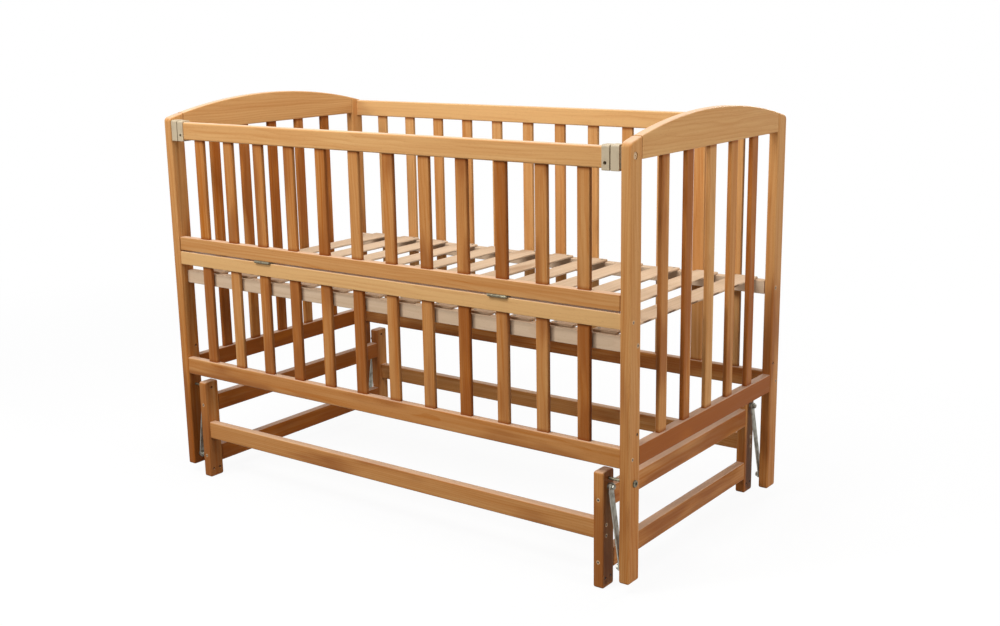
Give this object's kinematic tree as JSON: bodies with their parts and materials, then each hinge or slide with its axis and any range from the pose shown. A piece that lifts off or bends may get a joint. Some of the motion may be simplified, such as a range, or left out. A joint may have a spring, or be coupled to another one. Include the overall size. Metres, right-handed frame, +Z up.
{
  "type": "slatted crib on a swinging stand",
  "caption": "Slatted wooden crib with a fold-down front side, hung on steel links from a low stand so that it swings.",
  "frame": {"origin": "on the floor, in the middle of the whole crib's box", "axes": "+X along the length, to the right seen from the front; -Y is the front with the fold-down side; +Z up"},
  "size_m": [1.2516, 0.6578, 0.9],
  "materials": {
    "beech": "clear satin lacquer over warm beech",
    "raw_beech": "planed beech or birch, no lacquer",
    "steel": "zinc plated",
    "latch_plastic": "beige grey, moulded"
  },
  "bodies": {
    "stand": {"stand_front_rail": "beech", "stand_back_rail": "beech", "stand_front_left_upright": "beech", "stand_back_left_upright": "beech", "stand_front_right_upright": "beech", "stand_back_right_upright": "beech", "stand_left_upper_cross_rail": "beech", "stand_left_lower_cross_rail": "beech", "stand_right_upper_cross_rail": "beech", "stand_right_lower_cross_rail": "beech", "upper_pivot_bolt_front_left": "steel", "upper_pivot_bolt_back_left": "steel", "upper_pivot_bolt_front_right": "steel", "upper_pivot_bolt_back_right": "steel"},
    "link_front_left": {"link_front_left": "steel"},
    "link_back_left": {"link_back_left": "steel"},
    "link_front_right": {"link_front_right": "steel"},
    "link_back_right": {"link_back_right": "steel"},
    "crib_bed": {"left_front_post": "beech", "left_back_post": "beech", "right_front_post": "beech", "right_back_post": "beech", "left_end_panel": "beech", "right_end_panel": "beech", "back_panel": "beech", "lower_front_panel": "beech", "base_rail_front": "raw_beech", "base_rail_back": "raw_beech", "base_slat_01": "raw_beech", "base_slat_02": "raw_beech", "base_slat_03": "raw_beech", "base_slat_04": "raw_beech", "base_slat_05": "raw_beech", "base_slat_06": "raw_beech", "base_slat_07": "raw_beech", "base_slat_08": "raw_beech", "base_slat_09": "raw_beech", "base_slat_10": "raw_beech", "base_slat_11": "raw_beech", "base_slat_12": "raw_beech", "lower_pivot_bolt_front_left": "steel", "lower_pivot_bolt_back_left": "steel", "lower_pivot_bolt_front_right": "steel", "lower_pivot_bolt_back_right": "steel", "hinge_left_lower_leaf": "steel", "hinge_left_pin": "steel", "hinge_right_lower_leaf": "steel", "hinge_right_pin": "steel", "latch_keeper_left": "latch_plastic", "latch_keeper_right": "latch_plastic"},
    "drop_side": {"drop_side_panel": "beech", "hinge_left_upper_leaf": "steel", "hinge_right_upper_leaf": "steel", "latch_cap_left": "latch_plastic", "latch_cap_right": "latch_plastic"},
    "lock_bolt_left": {"lock_bolt_left": "steel"},
    "lock_bolt_right": {"lock_bolt_right": "steel"},
    "latch_pin_left": {"latch_pin_left": "steel"},
    "latch_pin_right": {"latch_pin_right": "steel"}
  },
  "joints": [
    {"name": "swing", "type": "hinge", "parent": "stand", "child": "link_front_left", "pos_m": [-0.5825, -0.30515, 0.206], "axis": [1, 0, 0], "range_deg": [-12, 12]},
    {"name": "swing_back_left", "type": "hinge", "parent": "stand", "child": "link_back_left", "pos_m": [-0.5825, 0.30885, 0.206], "axis": [1, 0, 0], "range_deg": [-12, 12]},
    {"name": "swing_front_right", "type": "hinge", "parent": "stand", "child": "link_front_right", "pos_m": [0.5825, -0.30515, 0.206], "axis": [1, 0, 0], "range_deg": [-12, 12]},
    {"name": "swing_back_right", "type": "hinge", "parent": "stand", "child": "link_back_right", "pos_m": [0.5825, 0.30885, 0.206], "axis": [1, 0, 0], "range_deg": [-12, 12]},
    {"name": "bed_level", "type": "hinge", "parent": "link_front_left", "child": "crib_bed", "pos_m": [-0.5825, -0.30515, 0.046], "axis": [1, 0, 0], "range_deg": [-12, 12]},
    {"name": "drop_side_fold", "type": "hinge", "parent": "crib_bed", "child": "drop_side", "pos_m": [0, -0.32565, 0.55125], "axis": [1, 0, 0], "range_deg": [0, 180]},
    {"name": "lock_bolt_left_slide", "type": "slide", "parent": "crib_bed", "child": "lock_bolt_left", "axis": [-1, 0, 0], "range_m": [0, 0.03]},
    {"name": "lock_bolt_right_slide", "type": "slide", "parent": "crib_bed", "child": "lock_bolt_right", "axis": [1, 0, 0], "range_m": [0, 0.03]},
    {"name": "latch_pin_left_slide", "type": "slide", "parent": "drop_side", "child": "latch_pin_left", "axis": [-1, 0, 0], "range_m": [0, 0.006]},
    {"name": "latch_pin_right_slide", "type": "slide", "parent": "drop_side", "child": "latch_pin_right", "axis": [1, 0, 0], "range_m": [0, 0.006]}
  ],
  "couplings": [
    {"joint": "swing_back_left", "follows": "swing", "ratio": 1},
    {"joint": "swing_front_right", "follows": "swing", "ratio": 1},
    {"joint": "swing_back_right", "follows": "swing", "ratio": 1},
    {"joint": "bed_level", "follows": "swing", "ratio": -1}
  ]
}
